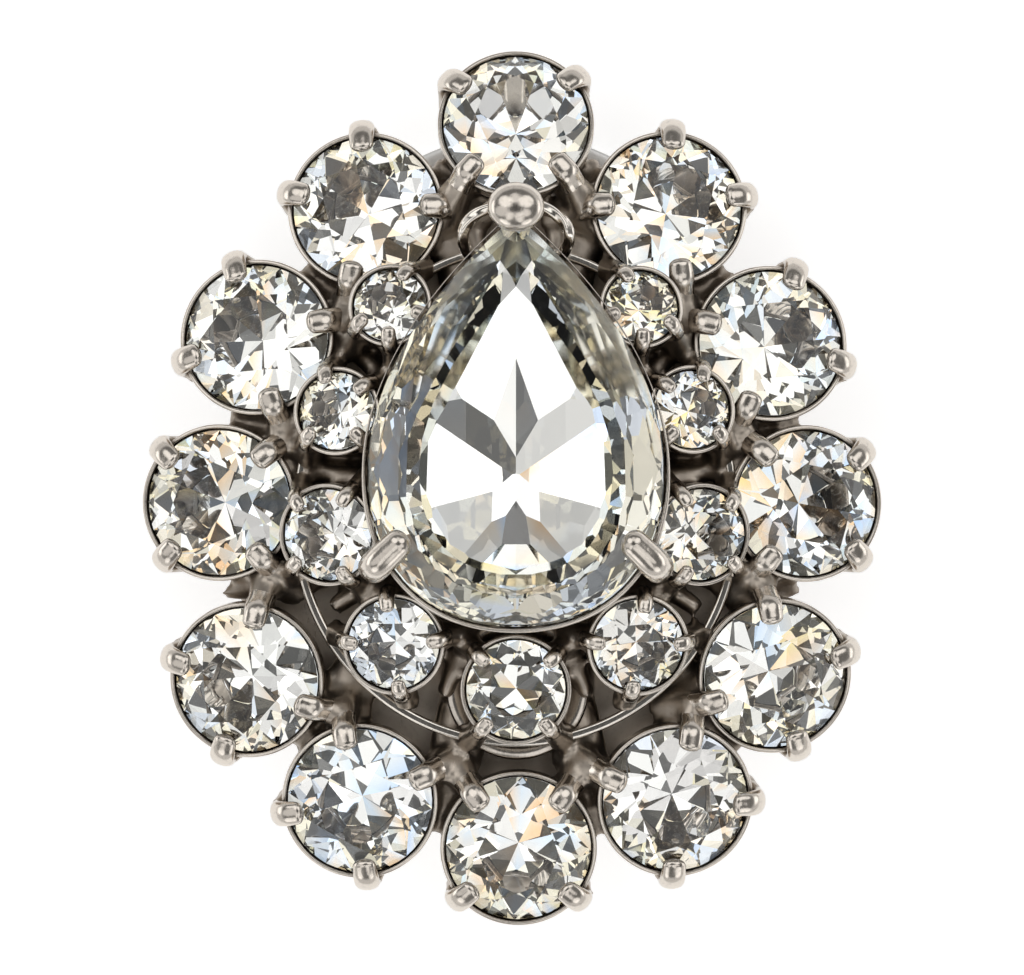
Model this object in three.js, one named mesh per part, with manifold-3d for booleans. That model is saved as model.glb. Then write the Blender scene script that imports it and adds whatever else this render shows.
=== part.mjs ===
// Clip earring: a pear crystal in two rings of round crystals, set in one soldered metal frame.
// Millimetres. +X runs across the face, +Y to the top of the earring, +Z out of its face.
// The origin is at the middle of the box's underside, below the clip's paddle.

import * as THREE from 'three';
import { mergeVertices } from 'three/addons/utils/BufferGeometryUtils.js';
import Module from 'manifold-3d';

const wasm = await Module();
wasm.setup();

// Stones
const pearWidth = 13.0;
const pearBelly = 6.78;          // widest line to the round end
const pearShoulder = 11.22;      // widest line to the tip
const pearCentreY = 0.8;         // widest line, above the middle of the rings
const pearCrown = 1.9;
const pearPavilion = 3.6;
const outerDiameter = 6.42;
const innerDiameter = 4.0;
const girdleBand = 0.16;

// Places of the stones
const pearLap = 0.29;            // the pear's edge over the side stones of the inner ring
const lowGap = 0.63;             // the pear's round end to the lowest inner stone
const ringLap = 0.35;            // the inner stones over the edges of the outer ones
const lowStep = 1.88;            // lowest inner stone to lowest outer stone
const outerRise = 3.3;           // frame's back to the outer girdles
const innerStep = 2.0;           // outer girdles to inner girdles
const pearStep = 1.95;           // inner girdles to the pear's girdle

// Metal
const clearance = 0.1;           // round every stone
const cupWall = 0.2;
const rimStand = 0.05;           // cup rims above the girdles' upper edges
const cupFootShare = 0.7;        // foot of a round cup, to its rim
const plateThickness = 0.9;
const plateShare = 0.92;         // plate's corners under the outer cups, towards their centres
const ribWidth = 2.6;
const ribDrop = 1.2;             // outer ribs below the outer girdles
const ribStart = 0.97;           // outer ribs, from close inside the notches
const ribReach = 0.55;           // to this share of the way out from the middle
const hubShare = 0.4;            // stem under the pear's cup, towards its outline
const stemFootShare = 0.28;
const prongWidth = 1.15;
const smallProngWidth = 0.7;
const prongReach = 0.75;         // tip over the crown of an outer stone
const smallProngReach = 0.5;
const knobWidth = 2.45;
const barWidth = 1.4;            // the two lower prongs of the pear
const barAngle = 44;             // degrees below the horizontal
const barShare = 0.541;          // place of the bars down the pear's round end
const clawThickness = 0.28;      // half thickness of a round stone's prong, to its width
const hoopWire = 0.5;
const hoopRise = outerRise + 0.2;
const hoopRadius = 9.71;
const hoopTop = 12.2;            // upper half of the hoop is a half ellipse
const hoopCentreY = -1.5;
const loopWire = 0.6;
const loopWidth = 5.24;          // small oval ring behind the pear's tip, outside
const loopHeight = 3.56;
const loopDrop = 0.9;            // loop's centre below the pear's tip
const loopDepth = 1.3;           // loop below the pear's girdle
const baseDiscRadius = 3.17;     // polished disc under the lowest inner stone

// Clip
const lobeGap = 4.8;             // paddle to the frame's back
const clipSheet = 1.2;
const paddleWidth = 12.6;
const paddleTopRadius = 9.9;
const paddleTopY = 16.3;
const bendY = -8.6;              // outside of the clip's bend
const padTopY = 2.4;             // upper end of the pad that is soldered to the frame
const cornerRadius = 2.2;
const solderSeam = 0.1;

// Cut of a round stone, as shares of its diameter or radius
const cut = { table: 0.56, star: 0.74, crown: 0.19, pavilion: 0.42, lowerHalf: 0.36, folds: 8 };
// Cut of the pear, as shares of its outline
const pearCut = { table: 0.58, star: 0.76, lowerHalf: 0.5, folds: 12, taper: 1.95, fullness: 2.2 };

// Outer ring: place as shares of the ring's half width and half height, outward lean and
// the directions of the four prongs in degrees, anticlockwise from +X
const outerRing = [
  { across: 0.0, along: 1.01, lean: 18, prongs: [38, 146, 229, 312] },
  { across: 0.521, along: 0.778, lean: 11, prongs: [87, 9, 181, 278] },
  { across: 0.867, along: 0.404, lean: 12, prongs: [71, -16, 165, 247] },
  { across: 0.988, along: -0.038, lean: 13, prongs: [42, -45, 133, 232] },
  { across: 0.883, along: -0.513, lean: 14, prongs: [98, 18, 199, 288] },
  { across: 0.543, along: -0.857, lean: 12, prongs: [79, -1, 158, 268] },
  { across: 0.009, along: -0.99, lean: 8, prongs: [51, -40, 128, 220] },
  { across: -0.531, along: -0.859, lean: 8, prongs: [101, 189, 23, 275] },
  { across: -0.917, along: -0.525, lean: 12, prongs: [79, 164, -20, 252] },
  { across: -1.012, along: -0.035, lean: 10, prongs: [137, 226, 44, -50] },
  { across: -0.882, along: 0.421, lean: 12, prongs: [107, 198, 11, 286] },
  { across: -0.512, along: 0.773, lean: 8, prongs: [93, 168, 1, 259] },
];

// Inner ring: the same columns, with the diameter as a share of innerDiameter
const innerRing = [
  { across: 0.672, along: 0.915, size: 0.8, lean: 16, prongs: [118, 200, 326, 268] },
  { across: 0.943, along: 0.401, size: 0.85, lean: 15, prongs: [74, 141, 226, 316] },
  { across: 0.993, along: -0.224, size: 1.0, lean: 18, prongs: [48, 120, 243, 318] },
  { across: 0.654, along: -0.776, size: 1.0, lean: 10, prongs: [83, 3, 262, 174] },
  { across: 0.0, along: -1.0, size: 1.09, lean: 2, prongs: [41, 137, 229, 311] },
  { across: -0.655, along: -0.772, size: 1.0, lean: 10, prongs: [97, 177, 278, 7] },
  { across: -1.007, along: -0.225, size: 1.0, lean: 18, prongs: [132, 60, 297, 222] },
  { across: -0.96, along: 0.393, size: 0.85, lean: 15, prongs: [106, 39, 314, 224] },
  { across: -0.675, along: 0.923, size: 0.8, lean: 16, prongs: [62, -20, 214, 272] },
];

// Claw of a round stone: root below the girdle, to the stone's diameter, knee at a share of the
// tip's height, and shares of the claw's width and thickness there
const prongRoot = { depth: 0.08, width: 0.85, thickness: 0.4, bend: 0 };
const prongKnee = { height: 0.35, width: 1.0, thickness: 1.0, bend: 25 };
const prongTip = { width: 0.7, thickness: 0.6, bend: 60 };

// Claws of the pear from root to tip, in shares of their width: place out from the outline,
// height over the girdle, width and half thickness, and the bend in degrees
const knobClaw = [
  { out: 0.286, rise: -0.98, width: 0.5, thickness: 0.184, bend: 0 },
  { out: 0.388, rise: -0.143, width: 0.75, thickness: 0.204, bend: 8 },
  { out: 0.245, rise: 0.306, width: 1.0, thickness: 0.306, bend: 40 },
  { out: -0.245, rise: 0.388, width: 0.7, thickness: 0.163, bend: 78 },
];
const barClaw = [
  { out: 0.107, rise: -1.357, width: 0.8, thickness: 0.286, bend: 0 },
  { out: 0.5, rise: -0.071, width: 1.0, thickness: 0.321, bend: 15 },
  { out: 0.214, rise: 0.464, width: 1.0, thickness: 0.3, bend: 55 },
  { out: -0.679, rise: 0.714, width: 0.7, thickness: 0.179, bend: 75 },
];

// Cup of the pear between its stem and rim: share of the outline, at a share of the pavilion
const cupBelly = { share: 0.93, depth: 0.25 };
// Room for a stone: size of the seat's lowest point, and room beside the table, as shares
const seatPoint = 0.02;
const tableRoom = 0.03;

// Sides of the round forms
const outerSides = 16;
const innerSides = 10;
const wireSides = 5;
const knobSides = 8;
const hoopSteps = 32;
const loopSteps = 20;
const bendSegments = 10;
const cornerSegments = 12;

const silver = new THREE.MeshStandardMaterial({ color: 0x8f8880, roughness: 0.32, metalness: 1.0 });
const satin = new THREE.MeshStandardMaterial({ color: 0xb9b6b0, roughness: 0.4, metalness: 1.0 });
const crystal = new THREE.MeshStandardMaterial({ color: 0xf4f4ef, roughness: 0.05, metalness: 0.1 });
for (const material of [silver, satin, crystal]) material.flatShading = true;

// Sizes that follow from the ones above
const lowestShare = Math.max(...innerRing.map((row) => row.size));
const innerHalfWidth = pearWidth / 2 + innerDiameter / 2 - pearLap;
const innerHalfHeight = pearBelly - pearCentreY + lowestShare * innerDiameter / 2 + lowGap;
const outerHalfWidth = innerHalfWidth + innerDiameter / 2 + outerDiameter / 2 - ringLap;
const outerHalfHeight = innerHalfHeight + lowestShare * innerDiameter / 2 + outerDiameter / 2 + lowStep;
const innerRise = outerRise + innerStep;
const pearRise = innerRise + pearStep;
const radians = THREE.MathUtils.degToRad;

function place(row, halfWidth, halfHeight, rise) {
  const position = new THREE.Vector3(row.across * halfWidth, row.along * halfHeight, rise);
  const heading = Math.atan2(position.y, position.x);
  const axis = new THREE.Vector3(-Math.sin(heading), Math.cos(heading), 0);
  const turn = new THREE.Quaternion().setFromAxisAngle(axis, radians(row.lean));
  return new THREE.Matrix4().compose(position, turn, new THREE.Vector3(1, 1, 1));
}

const outerPlaces = outerRing.map((row) => place(row, outerHalfWidth, outerHalfHeight, outerRise));
const innerPlaces = innerRing.map((row) => place(row, innerHalfWidth, innerHalfHeight, innerRise));
const pearPlace = new THREE.Matrix4().makeTranslation(0, pearCentreY, pearRise);

// Closed mesh from points and flat faces, each face anticlockwise from outside
function facetMesh(points, faces) {
  const index = [];
  for (const face of faces) {
    for (let i = 1; i < face.length - 1; i++) index.push(face[0], face[i], face[i + 1]);
  }
  const geometry = new THREE.BufferGeometry();
  const numbers = points.flatMap((p) => [p.x, p.y, p.z]);
  geometry.setAttribute('position', new THREE.Float32BufferAttribute(numbers, 3));
  geometry.setIndex(index);
  return geometry;
}

// Skin over rings with the same number of points. It ends in its first and last ring, or joins
// the last ring to the first where it goes all the way round.
function loft(rings, around = false) {
  const sides = rings[0].length;
  const faces = [];
  const spans = around ? rings.length : rings.length - 1;
  for (let r = 0; r < spans; r++) {
    const here = r * sides;
    const there = ((r + 1) % rings.length) * sides;
    for (let i = 0; i < sides; i++) {
      const next = (i + 1) % sides;
      faces.push([here + i, here + next, there + next, there + i]);
    }
  }
  if (!around) {
    const last = (rings.length - 1) * sides;
    faces.push([...Array(sides).keys()].reverse(), [...Array(sides).keys()].map((i) => last + i));
  }
  return facetMesh(rings.flat(), faces);
}

// Brilliant cut on any outline: rim(share, step) gives the point of the outline at that step
// of folds, drawn in to that share. The girdle lies on z = 0.
function brilliant(rim, folds, shape) {
  const band = girdleBand / 2;
  const crownAt = (share) => band + shape.crown * (1 - share) / (1 - shape.table);
  const pavilionAt = (share) => -band - shape.pavilion * (1 - share);
  const flatness = Math.cos(Math.PI / folds);
  const points = [];
  const ring = (count, offset, share, height) => {
    const first = points.length;
    for (let i = 0; i < count; i++) {
      const p = rim(share, (i * folds) / count + offset);
      points.push(new THREE.Vector3(p.x, p.y, height));
    }
    return (i) => first + ((i % count) + count) % count;
  };
  const table = ring(folds, 0, shape.table, band + shape.crown);
  const star = ring(folds, 0.5, shape.star, crownAt(shape.star * flatness));
  const top = ring(2 * folds, 0, 1, band);
  const bottom = ring(2 * folds, 0, 1, -band);
  const lower = ring(folds, 0.5, shape.lowerHalf, pavilionAt(shape.lowerHalf * flatness));
  const culet = points.push(new THREE.Vector3(0, 0, -band - shape.pavilion)) - 1;
  const faces = [[...Array(folds).keys()].map((i) => table(i))];
  for (let i = 0; i < folds; i++) {
    faces.push([table(i), star(i), table(i + 1)]);
    faces.push([table(i), star(i - 1), top(2 * i), star(i)]);
    faces.push([star(i), top(2 * i), top(2 * i + 1)], [star(i), top(2 * i + 1), top(2 * i + 2)]);
    faces.push([bottom(2 * i + 1), bottom(2 * i), lower(i)]);
    faces.push([bottom(2 * i + 2), bottom(2 * i + 1), lower(i)]);
    faces.push([bottom(2 * i), lower(i - 1), culet, lower(i)]);
  }
  for (let i = 0; i < 2 * folds; i++) {
    faces.push([bottom(i), bottom(i + 1), top(i + 1), top(i)]);
  }
  return facetMesh(points, faces);
}

function roundStone(diameter) {
  const radius = diameter / 2;
  const rim = (share, step) => {
    const angle = (step / cut.folds) * 2 * Math.PI;
    return { x: share * radius * Math.cos(angle), y: share * radius * Math.sin(angle) };
  };
  const shape = { ...cut, crown: cut.crown * diameter, pavilion: cut.pavilion * diameter };
  return brilliant(rim, cut.folds, shape);
}

// Outline of the pear from its tip, anticlockwise, about its widest line
class PearOutline extends THREE.Curve {
  getPoint(t) {
    const side = t < 0.5 ? -1 : 1;
    const down = 1 - Math.abs(2 * t - 1);
    const share = 1 - 2 * down;
    const reach = pearWidth / 2;
    if (share > 0) {
      return new THREE.Vector3(side * reach * (1 - share ** pearCut.taper), share * pearShoulder, 0);
    }
    const angle = -share * Math.PI / 2;
    const full = 2 / pearCut.fullness;
    const across = side * reach * Math.cos(angle) ** full;
    return new THREE.Vector3(across, -pearBelly * Math.sin(angle) ** full, 0);
  }
}

const pearEdge = new PearOutline().getSpacedPoints(2 * pearCut.folds).slice(0, -1);

function pearRim(share, step) {
  const p = pearEdge[Math.round(2 * step) % pearEdge.length];
  return { x: share * p.x, y: share * p.y };
}

function pearStone() {
  return brilliant(pearRim, pearCut.folds, { ...pearCut, crown: pearCrown, pavilion: pearPavilion });
}

// Solids for joining and cutting
function solid(geometry, matrix = new THREE.Matrix4()) {
  let plain = geometry.clone();
  plain.deleteAttribute('normal');
  plain.deleteAttribute('uv');
  plain = mergeVertices(plain, 1e-5).applyMatrix4(matrix);
  const vertProperties = new Float32Array(plain.attributes.position.array);
  const triVerts = new Uint32Array(plain.index.array);
  return new wasm.Manifold(new wasm.Mesh({ numProp: 3, vertProperties, triVerts }));
}

function joined(solids) {
  return solids.reduce((all, one) => all.add(one));
}

function meshOf(shape) {
  const data = shape.getMesh();
  const geometry = new THREE.BufferGeometry();
  geometry.setAttribute('position', new THREE.Float32BufferAttribute(data.vertProperties, 3));
  geometry.setIndex(new THREE.BufferAttribute(data.triVerts, 1));
  return geometry;
}

// Room that a stone needs, its outline and heights grown by the clearance
function seatRings(edge, shape) {
  const band = girdleBand / 2 + clearance;
  const grown = edge.map((p) => p.clone().addScaledVector(p.clone().normalize(), clearance));
  const at = (share, z) => grown.map((p) => new THREE.Vector3(p.x * share, p.y * share, z));
  const lowest = at(seatPoint, -band - shape.pavilion - clearance);
  const highest = at(shape.table + tableRoom, band + shape.crown + clearance);
  return [lowest, at(1, -band), at(1, band), highest];
}

// Corner radius of a many-sided round whose flats keep the radius
function cornerRadiusOf(radius, sides) {
  return radius / Math.cos(Math.PI / sides);
}

function roundEdge(diameter, sides) {
  const radius = cornerRadiusOf(diameter / 2, sides);
  return [...Array(sides).keys()].map((i) => {
    const angle = (i / sides) * 2 * Math.PI;
    return new THREE.Vector3(Math.cos(angle), Math.sin(angle), 0).multiplyScalar(radius);
  });
}

function roundSeat(diameter, sides, matrix) {
  const shape = { table: cut.table, crown: cut.crown * diameter, pavilion: cut.pavilion * diameter };
  return solid(loft(seatRings(roundEdge(diameter, sides), shape)), matrix);
}

function pearSeat() {
  const shape = { table: pearCut.table, crown: pearCrown, pavilion: pearPavilion };
  return solid(loft(seatRings(pearEdge, shape)), pearPlace);
}

// Cup that stands in the frame under a round stone
function roundCup(diameter, sides, matrix, foot) {
  const rim = cornerRadiusOf(diameter / 2 + clearance + cupWall, sides);
  const top = girdleBand / 2 + rimStand;
  const profile = [[0, -foot], [cupFootShare * rim, -foot], [rim, top], [0, top]];
  const turned = new THREE.LatheGeometry(profile.map(([r, z]) => new THREE.Vector2(r, z)), sides);
  return solid(turned.rotateX(Math.PI / 2), matrix);
}

// Wire bent to a closed line in a level plane
function wireLoop(line, wire, z) {
  const rings = line.map((p, i) => {
    const before = line[(i + line.length - 1) % line.length];
    const after = line[(i + 1) % line.length];
    const outward = new THREE.Vector2(after.y - before.y, before.x - after.x).normalize();
    return [...Array(wireSides).keys()].map((k) => {
      const turn = (k / wireSides) * 2 * Math.PI;
      const reach = (wire / 2) * Math.cos(turn);
      const height = z - (wire / 2) * Math.sin(turn);
      return new THREE.Vector3(p.x + outward.x * reach, p.y + outward.y * reach, height);
    });
  });
  return solid(loft(rings, true));
}

// Claw that rises outside a girdle and bends in over the crown. Local x is the distance out from
// the girdle's edge. Each station has its place, half sizes and the bend of the claw there.
function claw(section, stations, matrix) {
  const rings = stations.map(({ out, z, halfWidth, halfThickness, bend }) => {
    const lean = radians(bend);
    return section.map(({ across, inward }) => {
      const thick = halfThickness * inward;
      const x = out - thick * Math.cos(lean);
      return new THREE.Vector3(x, halfWidth * across, z - thick * Math.sin(lean));
    });
  });
  return solid(loft(rings), matrix);
}

// Sections of a claw, anticlockwise in shares of its half sizes
const flatSection = [
  { across: 1, inward: 1 }, { across: -1, inward: 1 },
  { across: -0.6, inward: -1 }, { across: 0.6, inward: -1 },
];
const roundSection = [...Array(knobSides).keys()].map((i) => {
  const turn = (i / knobSides) * 2 * Math.PI;
  return { across: Math.cos(turn), inward: Math.sin(turn) };
});

function roundProngs(row, diameter, width, reach, matrix) {
  const halfWidth = width / 2;
  const thick = clawThickness * width;
  const wallMiddle = clearance + cupWall / 2;
  const crownSlope = (2 * cut.crown) / (1 - cut.table);
  const tipHeight = girdleBand / 2 + 2 * clearance + crownSlope * reach;
  const station = (out, z, form) => ({
    out, z, halfWidth: form.width * halfWidth, halfThickness: form.thickness * thick, bend: form.bend,
  });
  const stations = [
    station(wallMiddle + prongRoot.thickness * thick, -prongRoot.depth * diameter, prongRoot),
    station(wallMiddle + prongKnee.thickness * thick, prongKnee.height * tipHeight, prongKnee),
    station(-reach, tipHeight + prongTip.thickness * thick, prongTip),
  ];
  return row.prongs.map((angle) => {
    const turned = new THREE.Matrix4().makeRotationZ(radians(angle));
    const edge = new THREE.Matrix4().makeTranslation(diameter / 2, 0, 0);
    return claw(flatSection, stations, matrix.clone().multiply(turned).multiply(edge));
  });
}

// Bar with a narrower top, lying from one point of the frame to another
function rib(start, end, baseWidth, topWidth, height) {
  const along = end.clone().sub(start).normalize();
  const side = new THREE.Vector3(-along.y, along.x, 0);
  const base = baseWidth / 2;
  const top = topWidth / 2;
  const section = [[base, 0], [top, height], [-top, height], [-base, 0]];
  const ringAt = (p) => section.map(([across, z]) => {
    return p.clone().addScaledVector(side, across).setZ(z + plateThickness / 2);
  });
  return solid(loft([ringAt(start), ringAt(end)]));
}

function level(matrix) {
  return new THREE.Vector3().setFromMatrixPosition(matrix).setZ(0);
}

function between(places, i) {
  return level(places[i]).add(level(places[(i + 1) % places.length])).divideScalar(2);
}

// Back plate: its corners lie under the outer cups and in the notches between them
function backPlate() {
  const corners = outerPlaces.flatMap((matrix, i) => [
    level(matrix).multiplyScalar(plateShare), between(outerPlaces, i)]);
  const outline = new THREE.Shape(corners.map((p) => new THREE.Vector2(p.x, p.y)).reverse());
  return solid(new THREE.ExtrudeGeometry(outline, { depth: plateThickness, bevelEnabled: false }));
}

function baseDisc() {
  const height = hoopRise - hoopWire / 2;
  const disc = new THREE.CylinderGeometry(baseDiscRadius, baseDiscRadius, height, 2 * innerSides);
  const centre = level(innerPlaces[innerRing.findIndex((row) => row.along === -1)]);
  disc.rotateX(Math.PI / 2).translate(centre.x, centre.y, height / 2);
  return solid(disc);
}

function frameRibs() {
  const outer = outerRing.map((row, i) => {
    const notch = between(outerPlaces, i);
    const start = notch.clone().multiplyScalar(ribStart);
    return rib(start, notch.multiplyScalar(ribReach), ribWidth, ribWidth / 2, outerRise - ribDrop);
  });
  const inner = innerRing.map((row, i) => {
    const gap = between(innerPlaces, i);
    const end = gap.clone().normalize().multiplyScalar(hoopRadius);
    const start = gap.clone().multiplyScalar(hubShare);
    return rib(start, end, ribWidth / 2, ribWidth / 4, hoopRise - plateThickness / 2);
  });
  return [...outer, ...inner];
}

function hoopLine() {
  return [...Array(hoopSteps).keys()].map((i) => {
    const angle = (i / hoopSteps) * 2 * Math.PI;
    const reach = Math.sin(angle) > 0 ? hoopTop : hoopRadius;
    return new THREE.Vector2(hoopRadius * Math.cos(angle), hoopCentreY + reach * Math.sin(angle));
  });
}

function loopLine() {
  const centreY = pearCentreY + pearShoulder - loopDrop;
  return [...Array(loopSteps).keys()].map((i) => {
    const angle = (i / loopSteps) * 2 * Math.PI;
    const x = ((loopWidth - loopWire) / 2) * Math.cos(angle);
    return new THREE.Vector2(x, centreY + ((loopHeight - loopWire) / 2) * Math.sin(angle));
  });
}

function pearCup() {
  const grown = clearance + cupWall;
  const edge = pearEdge.map((p) => p.clone().addScaledVector(p.clone().normalize(), grown));
  const at = (share, z) => edge.map((p) => new THREE.Vector3(p.x * share, p.y * share, z));
  const rings = [
    at(stemFootShare, -pearRise),
    at(hubShare, -pearPavilion - grown),
    at(cupBelly.share, -cupBelly.depth * pearPavilion),
    at(1, girdleBand / 2 + rimStand),
  ];
  return solid(loft(rings), pearPlace);
}

// Claw of the pear, over the point of its outline that edge moves to, turned to point outward
function pearClaw(rows, width, edge, angle) {
  const stations = rows.map((row) => ({
    out: row.out * width,
    z: row.rise * width,
    halfWidth: (row.width * width) / 2,
    halfThickness: row.thickness * width,
    bend: row.bend,
  }));
  const turned = new THREE.Matrix4().makeRotationZ(radians(angle));
  return claw(roundSection, stations, pearPlace.clone().multiply(edge).multiply(turned));
}

function pearKnob() {
  const tip = new THREE.Matrix4().makeTranslation(0, pearShoulder, 0);
  return pearClaw(knobClaw, knobWidth, tip, 90);
}

function pearBars() {
  return [-1, 1].map((side) => {
    const down = barShare ** pearCut.fullness;
    const across = (pearWidth / 2) * (1 - down) ** (1 / pearCut.fullness);
    const edge = new THREE.Matrix4().makeTranslation(side * across, -barShare * pearBelly, 0);
    return pearClaw(barClaw, barWidth, edge, side < 0 ? 180 + barAngle : -barAngle);
  });
}

function metalFrame() {
  const footing = outerRise + clearance;
  const parts = [
    backPlate(), baseDisc(), ...frameRibs(), pearCup(), pearKnob(), ...pearBars(),
    wireLoop(hoopLine(), hoopWire, hoopRise), wireLoop(loopLine(), loopWire, pearRise - loopDepth),
  ];
  const seats = [pearSeat()];
  outerRing.forEach((row, i) => {
    parts.push(roundCup(outerDiameter, outerSides, outerPlaces[i], footing));
    parts.push(...roundProngs(row, outerDiameter, prongWidth, prongReach, outerPlaces[i]));
    seats.push(roundSeat(outerDiameter, outerSides, outerPlaces[i]));
  });
  innerRing.forEach((row, i) => {
    const diameter = row.size * innerDiameter;
    parts.push(roundCup(diameter, innerSides, innerPlaces[i], innerRise));
    parts.push(...roundProngs(row, diameter, smallProngWidth, smallProngReach, innerPlaces[i]));
    seats.push(roundSeat(diameter, innerSides, innerPlaces[i]));
  });
  const width = 4 * outerHalfWidth;
  const height = 4 * outerHalfHeight;
  const below = new THREE.BoxGeometry(width, height, outerRise).translate(0, 0, -outerRise / 2);
  return meshOf(joined(parts).subtract(joined(seats)).subtract(solid(below)));
}

// Sheet metal clip: pad under the frame, bend at the lower end, paddle up behind the top stone
function earClip() {
  const top = -solderSeam;
  const bottom = -lobeGap - clipSheet;
  const outside = (top - bottom) / 2;
  const bendCentre = bendY + outside;
  const middle = (top + bottom) / 2;
  const side = new THREE.Shape();
  side.moveTo(padTopY, top);
  side.lineTo(bendCentre, top);
  side.absarc(bendCentre, middle, outside, Math.PI / 2, 1.5 * Math.PI, false);
  side.lineTo(paddleTopY, bottom);
  side.lineTo(paddleTopY, bottom + clipSheet);
  side.lineTo(bendCentre, bottom + clipSheet);
  side.absarc(bendCentre, middle, outside - clipSheet, 1.5 * Math.PI, Math.PI / 2, true);
  side.lineTo(padTopY, top - clipSheet);
  const across = { depth: paddleWidth, bevelEnabled: false, curveSegments: bendSegments };
  const bent = new THREE.ExtrudeGeometry(side, across);
  const upright = new THREE.Matrix4().makeBasis(
    new THREE.Vector3(0, 1, 0), new THREE.Vector3(0, 0, 1), new THREE.Vector3(1, 0, 0));
  const centred = new THREE.Matrix4().makeTranslation(-paddleWidth / 2, 0, 0);

  const half = paddleWidth / 2;
  const arcCentre = paddleTopY - paddleTopRadius;
  const cornerX = half - cornerRadius;
  const cornerY = arcCentre + Math.sqrt((paddleTopRadius - cornerRadius) ** 2 - cornerX ** 2);
  const swing = Math.atan2(cornerY - arcCentre, cornerX);
  const plan = new THREE.Shape();
  plan.moveTo(-half, bendY - 1);
  plan.lineTo(half, bendY - 1);
  plan.absarc(cornerX, cornerY, cornerRadius, 0, swing, false);
  plan.absarc(0, arcCentre, paddleTopRadius, swing, Math.PI - swing, false);
  plan.absarc(-cornerX, cornerY, cornerRadius, Math.PI - swing, Math.PI, false);
  const upward = { depth: -2 * bottom, bevelEnabled: false, curveSegments: cornerSegments };
  const block = new THREE.ExtrudeGeometry(plan, upward);
  block.translate(0, 0, 1.5 * bottom);
  return meshOf(solid(bent, centred.multiply(upright)).intersect(solid(block)));
}

function part(name, geometry, material, matrix) {
  const mesh = new THREE.Mesh(geometry, material);
  mesh.name = name;
  if (matrix) matrix.decompose(mesh.position, mesh.quaternion, mesh.scale);
  return mesh;
}

function numbered(stem, i) {
  return `${stem}_${String(i + 1).padStart(2, '0')}`;
}

const face = new THREE.Group();
face.add(part('metal_frame', metalFrame(), silver));
face.add(part('ear_clip', earClip(), satin));
face.add(part('pear_stone', pearStone(), crystal, pearPlace));
outerPlaces.forEach((matrix, i) => {
  face.add(part(numbered('outer_stone', i), roundStone(outerDiameter), crystal, matrix));
});
innerPlaces.forEach((matrix, i) => {
  const diameter = innerRing[i].size * innerDiameter;
  face.add(part(numbered('inner_stone', i), roundStone(diameter), crystal, matrix));
});

const box = new THREE.Box3().setFromObject(face);
const middle = box.getCenter(new THREE.Vector3());
face.position.set(-middle.x, -middle.y, -box.min.z);
const earring = new THREE.Group();
earring.add(face);

export default earring;
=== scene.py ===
"""Clip earring: a pear crystal in two rings of round crystals, in a cast frame of antiqued silver.

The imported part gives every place. The sizes below are its own, in millimetres, about the middle
of the rings on the back of the frame: +X across the face, +Y to the top, +Z out of the face.
"""

import math
import random

import bmesh
import bpy
import numpy as np
from mathutils import Matrix, Vector


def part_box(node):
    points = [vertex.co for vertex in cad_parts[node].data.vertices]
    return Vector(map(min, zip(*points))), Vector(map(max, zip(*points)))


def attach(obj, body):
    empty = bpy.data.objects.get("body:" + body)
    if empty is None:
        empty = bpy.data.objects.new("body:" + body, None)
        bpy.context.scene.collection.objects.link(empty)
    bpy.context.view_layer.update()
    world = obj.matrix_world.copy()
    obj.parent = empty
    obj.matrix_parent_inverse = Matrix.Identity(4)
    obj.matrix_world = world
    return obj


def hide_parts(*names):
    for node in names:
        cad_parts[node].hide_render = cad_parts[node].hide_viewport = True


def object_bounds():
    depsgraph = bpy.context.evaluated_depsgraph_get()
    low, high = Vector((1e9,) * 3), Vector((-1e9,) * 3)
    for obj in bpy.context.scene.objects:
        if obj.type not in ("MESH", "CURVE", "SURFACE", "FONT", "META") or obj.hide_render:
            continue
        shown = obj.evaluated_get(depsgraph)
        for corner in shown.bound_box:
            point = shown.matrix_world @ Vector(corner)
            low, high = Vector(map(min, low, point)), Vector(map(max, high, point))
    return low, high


MM = 0.001
BUMP_DEPTH = 0.02

# Pear crystal
PEAR_WIDTH = 13.0
PEAR_BELLY = 6.78
PEAR_SHOULDER = 11.22
PEAR_CENTRE_Y = 0.8
PEAR_CROWN = 1.9
PEAR_PAVILION = 4.2
PEAR_TAPER = 1.95
PEAR_FULLNESS = 2.2
PEAR_RISE = 7.25
# Steps that the pear's outline is worked out in, and the reach that its direction is taken over
OUTLINE_STEPS = 2001
OUTLINE_REACH = 0.02
# The rows of facets leave this much clear round the tip
TIP_CLEAR = 0.2

# Round crystals
OUTER_DIAMETER = 6.42
OUTER_RISE = 3.3
INNER_RISE = 5.3
HALF_GIRDLE = 0.08
TABLE_SHARE = 0.56
STAR_SHARE = 0.74
CROWN_SHARE = 0.19
PAVILION_SHARE = 0.40
LOWER_HALF_SHARE = 0.52
FOLDS = 8

# Outer ring: middle of the girdle, outward lean, directions of the prongs
OUTER_STONES = [
    (0.00, 16.22, 18, (38, 146, 229, 312)),
    (6.79, 12.51, 11, (87, 9, 181, 278)),
    (11.29, 6.49, 12, (71, -16, 165, 247)),
    (12.87, -0.61, 13, (42, -45, 133, 232)),
    (11.50, -8.25, 14, (98, 18, 199, 288)),
    (7.07, -13.78, 12, (79, -1, 158, 268)),
    (0.12, -15.91, 8, (51, -40, 128, 220)),
    (-6.92, -13.80, 8, (101, 189, 23, 275)),
    (-11.94, -8.44, 12, (79, 164, -20, 252)),
    (-13.17, -0.57, 10, (137, 226, 44, -50)),
    (-11.49, 6.77, 12, (107, 198, 11, 286)),
    (-6.66, 12.43, 8, (93, 168, 1, 259)),
]
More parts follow.
